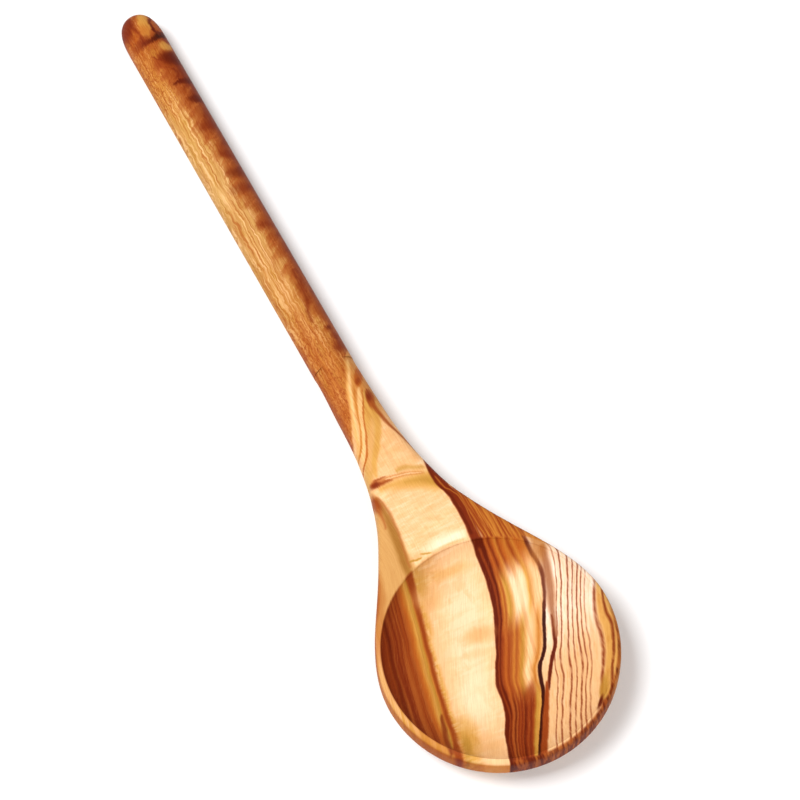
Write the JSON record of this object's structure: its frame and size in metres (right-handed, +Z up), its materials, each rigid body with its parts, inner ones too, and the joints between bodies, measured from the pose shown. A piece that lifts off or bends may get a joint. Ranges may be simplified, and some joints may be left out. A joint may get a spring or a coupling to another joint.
{
  "type": "wooden spoon",
  "caption": "Long cooking spoon carved from one piece of wood: a round shallow bowl with a flat rim runs through a tapering neck into a round straight handle with a domed end.",
  "frame": {"origin": "on the table plane below the middle of the spoon's length and width", "axes": "+X runs along the spoon from the bowl's tip to the handle's end, +Z points up out of the bowl, and the XZ plane is the plane of symmetry"},
  "size_m": [0.3, 0.0756, 0.0194],
  "materials": {
    "wood": "oiled olive wood, satin"
  },
  "bodies": {
    "root": {"spoon": "wood"}
  },
  "joints": []
}
